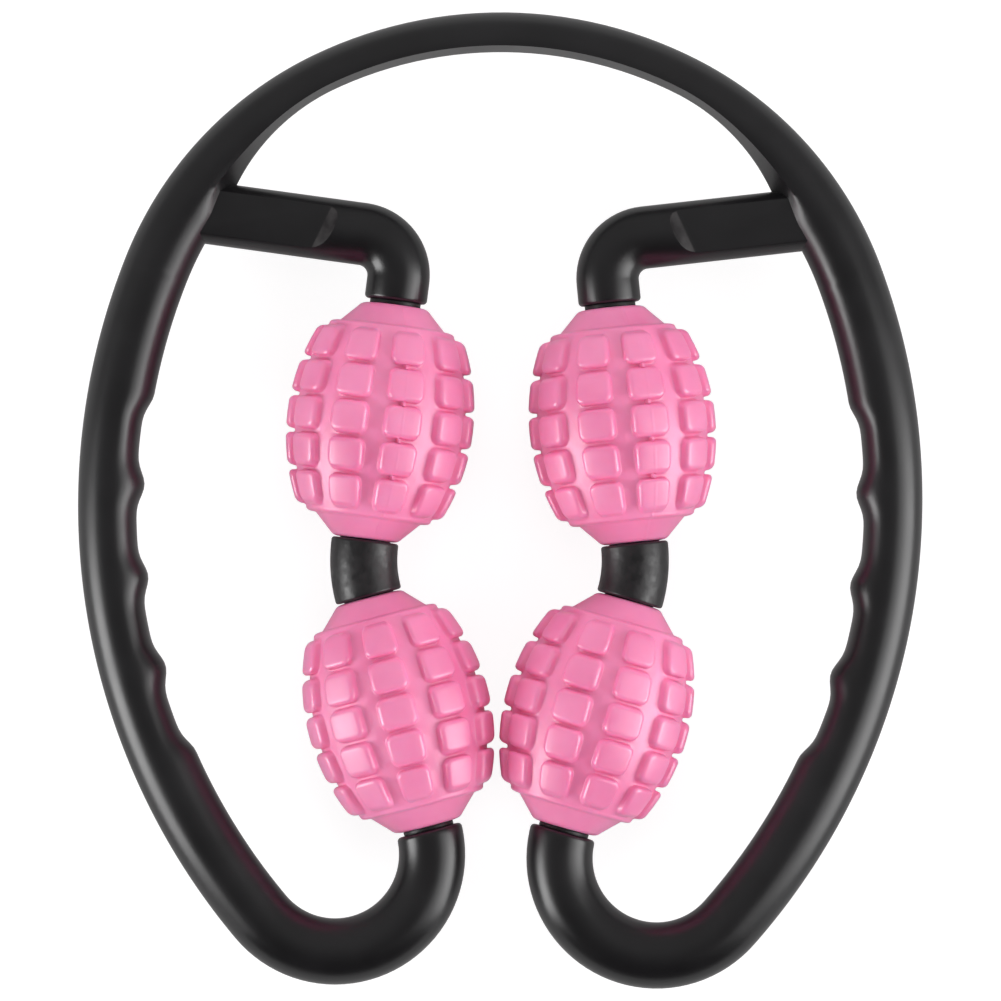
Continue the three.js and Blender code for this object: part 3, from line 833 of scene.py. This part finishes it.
def rolled_column():
    """Five studs in a row, cut for the curve and rolled onto the barrel."""
    bm = stud.copy()
    for step in range(1, STRIPS_ACROSS):
        cut(bm, ((step / STRIPS_ACROSS - 0.5) * CELL_WIDTH, 0, 0), (1, 0, 0))
    for step in range(1, STRIPS_ALONG):
        cut(bm, (0, (step / STRIPS_ALONG - 0.5) * ROW_PITCH, 0), (0, 1, 0))
    cell = everything(bm)
    for row in range(1, ROWS):
        copy = bmesh.ops.duplicate(bm, geom=cell)["geom"]
        bmesh.ops.translate(bm, verts=points_in(copy), vec=(0, row * ROW_PITCH, 0))
    bmesh.ops.translate(bm, verts=bm.verts, vec=(0, -(ROWS - 1) / 2 * ROW_PITCH, 0))
    bmesh.ops.remove_doubles(bm, verts=bm.verts, dist=WELD / 2)
    for vert in bm.verts:
        turn, level = vert.co.x / BARREL, vert.co.z / STUD_HEIGHT
        flattened = 1 + level * (1 / math.cos(min(abs(turn), LEVEL_TURN)) - 1)
        radius = (barrel_at(vert.co.y) + vert.co.z) * flattened
        vert.co = (radius * math.sin(turn), vert.co.y, radius * math.cos(turn))
    return bm


column = rolled_column()
print("one rolled column:", len(column.faces), "faces")

# %% [markdown]
# Copies of the column close the barrel. Its open ends are then pulled on, ring by
# ring, to the shoulder, the neck and the bore, and into the hollow for the core. Each
# ring is a place along the axis and a radius.

# %% Pull the ends of a barrel
HALF_BARREL, END_SLACK = ROWS * ROW_PITCH / 2, 0.1
SKIN_BORE, INNER_BARREL, INNER_SHOULDER = 6.8, 18.1, 14.0
END_RINGS = ((23.85, 16.03), (24.12, 15.88), (24.34, 15.62), (24.5, 15.25),
             (24.6, 14.8), (24.72, 13.65), (24.78, 13.45), (24.95, 13.25),
             (28.9, 9.35), (29.25, 9.05), (29.6, 8.65), (29.85, 8.2), (30.02, 7.6),
             (30.1, 6.95), (30.1, SKIN_BORE), (26.5, SKIN_BORE),
             (INNER_SHOULDER, INNER_BARREL))


def away_from_axis(co):
    """The direction square to the roller's axis, which is Y here."""
    return Vector((co.x, 0, co.z)).normalized()


def pull_end(bm, sign):
    """Pulls one open end of the barrel through the end rings."""
    ring = [edge for edge in bm.edges if edge.is_boundary
            and all(sign * vert.co.y > HALF_BARREL - END_SLACK for vert in edge.verts)]
    for along, radius in END_RINGS:
        made = bmesh.ops.extrude_edge_only(bm, edges=ring)["geom"]
        ring = [edge for edge in edges_in(made) if edge.is_boundary]
        for vert in each_once(vert for edge in ring for vert in edge.verts):
            flat = away_from_axis(vert.co) * radius
            vert.co = (flat.x, sign * along, flat.z)
    return ring


print("rings at each end of a skin:", len(END_RINGS))

# %% [markdown]
# A mould leaves a fine seam on both sides of a skin. On the upper rollers of the
# photograph it crosses two columns of studs, with a small web in each row gap; on the
# lower ones it is out of sight. Five cuts beside each other give the seam its points,
# and those on its line are lifted: a little on studs and necks, and far in the gaps.
# The bore, the end faces and the hollow inside are left alone.

# %% Raise the seam of the mould
SEAM_HALF_WIDTH, SEAM_FOOT, SEAM_SLACK = 0.28, 0.7, 0.001
SEAM_ON_STUD, SEAM_ON_NECK, SEAM_IN_GAP = 0.06, 0.15, 1.5
HOLLOW_ROOM, SHOULDER_ROOM, BORE_ROOM = 0.5, 1.0, 1.2


def raise_seam(bm, turn, on_column):
    """A fine seam along both sides, with webs where it crosses the row gaps."""
    middle = Vector((math.sin(turn), 0, math.cos(turn)))
    square = Vector((middle.z, 0, -middle.x))
    for offset in (-SEAM_FOOT, -SEAM_HALF_WIDTH, 0, SEAM_HALF_WIDTH, SEAM_FOOT):
        cut(bm, offset * square, square)
    lifted = 0
    for vert in bm.verts:
        radius, along = math.hypot(vert.co.x, vert.co.z), abs(vert.co.y)
        beside = abs(vert.co.dot(square))
        inside = (radius < INNER_BARREL + HOLLOW_ROOM
                  and along < INNER_SHOULDER + SHOULDER_ROOM)
        if (inside or radius < SKIN_BORE + BORE_ROOM
                or beside > SEAM_HALF_WIDTH + SEAM_SLACK):
            continue
        row_line = ROW_PITCH * (round(vert.co.y / ROW_PITCH + 0.5) - 0.5)
        lift = SEAM_ON_STUD if along < HALF_BARREL else SEAM_ON_NECK
        if (on_column and along < HALF_BARREL - ROW_GAP
                and abs(vert.co.y - row_line) < ROW_GAP
                and radius < barrel_at(vert.co.y) + STUD_FOOT):
            lift = SEAM_IN_GAP
        elif beside > SEAM_SLACK:
            continue
        vert.co += lift * away_from_axis(vert.co)
        lifted += 1
    return lifted


print("the seam stands out by", SEAM_ON_STUD, "to", SEAM_ON_NECK, "mm")

# %% [markdown]
# The four skins differ only in how far the studs and the seam are turned about the
# axle, in degrees, so that each roller stands as it does in the photograph. A skin is
# built about the Y axis and then moved to its own axle.

# %% Build the four skins
STUD_PHASE = {"upper_left": 16, "upper_right": 18, "lower_left": 0, "lower_right": 18}
SEAM_TURN = {"upper_left": 15, "upper_right": 18, "lower_left": 90, "lower_right": 108}
COLUMN_PITCH = 360 / COLUMNS
RUBBER_SHARP_ANGLE = math.radians(50)


def build_skin(corner):
    """The skin of one roller, in the roller's own frame, with its axis along +Y."""
    bm = column.copy()
    bmesh.ops.spin(bm, geom=everything(bm), cent=(0, 0, 0), axis=(0, 1, 0),
                   angle=2 * math.pi * (COLUMNS - 1) / COLUMNS, steps=COLUMNS - 1,
                   use_duplicate=True)
    bmesh.ops.remove_doubles(bm, verts=bm.verts, dist=WELD)
    phase = Matrix.Rotation(math.radians(STUD_PHASE[corner]), 3, "Y")
    bmesh.ops.rotate(bm, verts=bm.verts, cent=(0, 0, 0), matrix=phase)
    ends = [pull_end(bm, sign) for sign in (1, -1)]
    bmesh.ops.bridge_loops(bm, edges=ends[0] + ends[1])
    past_column = (SEAM_TURN[corner] - STUD_PHASE[corner]) % COLUMN_PITCH
    on_column = min(past_column, COLUMN_PITCH - past_column) < COLUMN_PITCH / 4
    lifted = raise_seam(bm, math.radians(SEAM_TURN[corner]), on_column)
    print(corner, "seam points:", lifted, "open edges:",
          sum(not edge.is_manifold for edge in bm.edges))
    return bm


def place_on_axis(bm, corner):
    """Moves a piece from the roller's own frame to its place on the object."""
    centre, axis = roller_place(corner)
    turn = Matrix.Rotation(math.atan2(-axis.x, axis.y), 4, "Z")
    bmesh.ops.transform(bm, matrix=Matrix.Translation(centre) @ turn, verts=bm.verts)


for corner in STUD_PHASE:
    skin = build_skin(corner)
    place_on_axis(skin, corner)
    piece = finish_piece(skin, f"roller_skin_moulding_{corner}", pink_rubber,
                         f"roller_{corner}", RUBBER_SHARP_ANGLE)
    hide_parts(f"roller_skin_{corner}")
for pattern in (stud, column):
    pattern.free()

# %% [markdown]
# ## Floor and background
# The part lies on a plain white floor. The floor reflects light as white paper does,
# and adds a little of its own where the camera sees it, so that it renders white and
# the soft shadow of the object still shows on it. Reflections see a weaker glow, so
# that the rims of the black tube stay dark, as they are in the photograph.

# %% Make the floor
FLOOR_REACH, PAPER_GREY = 6, 0.32


def make_floor(camera_glow, reflected_glow):
    """A wide white floor just under the studs."""
    bm = bmesh.new()
    bmesh.ops.create_grid(bm, x_segments=1, y_segments=1, size=FLOOR_REACH)
    mesh = bpy.data.meshes.new("floor")
    bm.to_mesh(mesh)
    bm.free()
    floor = bpy.data.objects.new("floor", mesh)
    bpy.context.scene.collection.objects.link(floor)
    material = bpy.data.materials.new("white_floor")
    material.use_nodes = True
    nodes, links = material.node_tree.nodes, material.node_tree.links
    nodes.clear()
    paper = nodes.new("ShaderNodeBsdfDiffuse")
    paper.inputs["Color"].default_value = (PAPER_GREY, PAPER_GREY, PAPER_GREY, 1)
    glow = nodes.new("ShaderNodeEmission")
    path = nodes.new("ShaderNodeLightPath")
    reflected = nodes.new("ShaderNodeMath")
    reflected.operation = "MAXIMUM"
    links.new(path.outputs["Is Glossy Ray"], reflected.inputs[0])
    links.new(path.outputs["Is Transmission Ray"], reflected.inputs[1])
    seen = nodes.new("ShaderNodeMath")
    seen.operation = "MULTIPLY"
    seen.inputs[1].default_value = camera_glow
    links.new(path.outputs["Is Camera Ray"], seen.inputs[0])
    strength = nodes.new("ShaderNodeMath")
    strength.operation = "MULTIPLY_ADD"
    strength.inputs[1].default_value = reflected_glow
    links.new(reflected.outputs[0], strength.inputs[0])
    links.new(seen.outputs[0], strength.inputs[2])
    links.new(strength.outputs[0], glow.inputs["Strength"])
    both = nodes.new("ShaderNodeAddShader")
    output = nodes.new("ShaderNodeOutputMaterial")
    links.new(paper.outputs[0], both.inputs[0])
    links.new(glow.outputs[0], both.inputs[1])
    links.new(both.outputs[0], output.inputs["Surface"])
    mesh.materials.append(material)
    floor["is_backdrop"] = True


make_floor(camera_glow=0.86, reflected_glow=0.27)
print("floor:", 2 * FLOOR_REACH, "m wide")

# %% [markdown]
# ## The room
# The world is a dim room that gives the shadows their light. It is darker towards
# the curled ends than towards the crown, to match the shades in the photograph. The
# direction of a ray tells how far it looks towards the crown, which is +Y.

# %% Make the world
SHADE_FROM, SHADE_TO = -0.8, 0.5


def make_world(front, back):
    """A dim studio room, darker towards the curled ends than towards the crown."""
    world = bpy.data.worlds.new("studio_room")
    bpy.context.scene.world = world
    world.use_nodes = True
    nodes, links = world.node_tree.nodes, world.node_tree.links
    direction = nodes.new("ShaderNodeTexCoord")
    split = nodes.new("ShaderNodeSeparateXYZ")
    shade = nodes.new("ShaderNodeMapRange")
    shade.interpolation_type = "SMOOTHSTEP"
    for name, value in (("From Min", SHADE_FROM), ("From Max", SHADE_TO),
                        ("To Min", front), ("To Max", back)):
        shade.inputs[name].default_value = value
    links.new(direction.outputs["Generated"], split.inputs[0])
    links.new(split.outputs["Y"], shade.inputs["Value"])
    links.new(shade.outputs["Result"], nodes["Background"].inputs["Strength"])
    nodes["Background"].inputs["Color"].default_value = (1, 1, 1, 1)


make_world(front=0.04, back=0.33)
print("world:", bpy.context.scene.world.name)

# %% [markdown]
# ## Lamps
# Two large soft boxes stand low at the left and right, a little towards the curled
# ends. They light the lower edges of the studs and draw the long highlights along the
# outer and inner sides of the grips. Two weaker panels above the right one let its
# highlight fade towards the top. Three fill panels stand beyond the crown, beyond the
# curls and high above. They light the channels between the studs along their length,
# and are kept out of reflections, because the black tube shows no highlight there.

# %% Place the lamps
def soft_box(name, bearing, rise, distance, width, height, radiance, reflected=True):
    """A rectangular lamp that faces the object from a bearing and a rise in degrees."""
    lamp = bpy.data.lights.new(name, "AREA")
    lamp.shape = "RECTANGLE"
    lamp.size, lamp.size_y = width, height
    lamp.energy = radiance * math.pi * width * height
    rise = math.radians(rise)
    place = go(distance * math.sin(rise) * UP, distance * math.cos(rise),
               math.radians(bearing))
    made = bpy.data.objects.new(name, lamp)
    made.location = place
    made.rotation_mode = "QUATERNION"
    made.rotation_quaternion = (-place).to_track_quat("-Z", "Y")
    made.visible_glossy = reflected
    bpy.context.scene.collection.objects.link(made)
    print(name, "power", round(lamp.energy, 1), "W")


# name, bearing, rise, distance, width, height, radiance
soft_box("left_box", 199, 16, 1.5, 0.75, 0.92, 7.0)
soft_box("right_box", -13, 15, 1.5, 1.10, 0.80, 4.7)
soft_box("right_middle_box", -13, 36, 1.5, 1.10, 0.32, 2.9)
soft_box("right_upper_box", -13, 50, 1.5, 1.10, 0.42, 1.4)
soft_box("crown_fill", 90, 24, 1.5, 1.20, 0.90, 3.0, reflected=False)
soft_box("curl_fill", 270, 24, 1.5, 1.20, 0.90, 2.0, reflected=False)
soft_box("top_fill", 90, 70, 2.4, 1.60, 1.40, 1.15, reflected=False)

# %% [markdown]
# ## Camera
# The photograph looks straight down from about two metres, a little from the side of
# the curled ends, and the object leans slightly to the right in it.

# %% Place the camera
CAMERA_HEIGHT, CAMERA_Y, CAMERA_ROLL = 2.0, -0.042, math.radians(0.8)
SENSOR_WIDTH, FOCAL_LENGTH, VIEW_END = 36.0, 281.6, 50
AIM_X, AIM_Y = 0.00006, -0.0004
aim = Vector((AIM_X, AIM_Y, METRES * upper_centre.z))
camera_data = bpy.data.cameras.new("camera")
camera_data.sensor_width = SENSOR_WIDTH
camera_data.lens = FOCAL_LENGTH
camera_data.clip_end = VIEW_END
camera = bpy.data.objects.new("camera", camera_data)
bpy.context.scene.collection.objects.link(camera)
eye = Vector((0, CAMERA_Y, CAMERA_HEIGHT + aim.z))
look = (aim - eye).to_track_quat("-Z", "Y")
camera.rotation_mode = "QUATERNION"
camera.rotation_quaternion = look @ Matrix.Rotation(CAMERA_ROLL, 3, "Z").to_quaternion()
camera.location = eye
bpy.context.scene.camera = camera
bpy.context.scene.view_settings.view_transform = "Standard"
print("camera:", round((aim - eye).length, 3), "m from the object")

# %% [markdown]
# ## Check the size and finish
# The pieces made here are meant to stay inside the box of the CAD model, so how far
# they pass it below and above is printed.

# %% Compare the boxes and finish
low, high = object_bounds()
for side, past in (("below", cad_low - low), ("above", high - cad_high)):
    print(side, "the CAD box by, in mm:", [round(MM_PER_METRE * x, 3) for x in past])
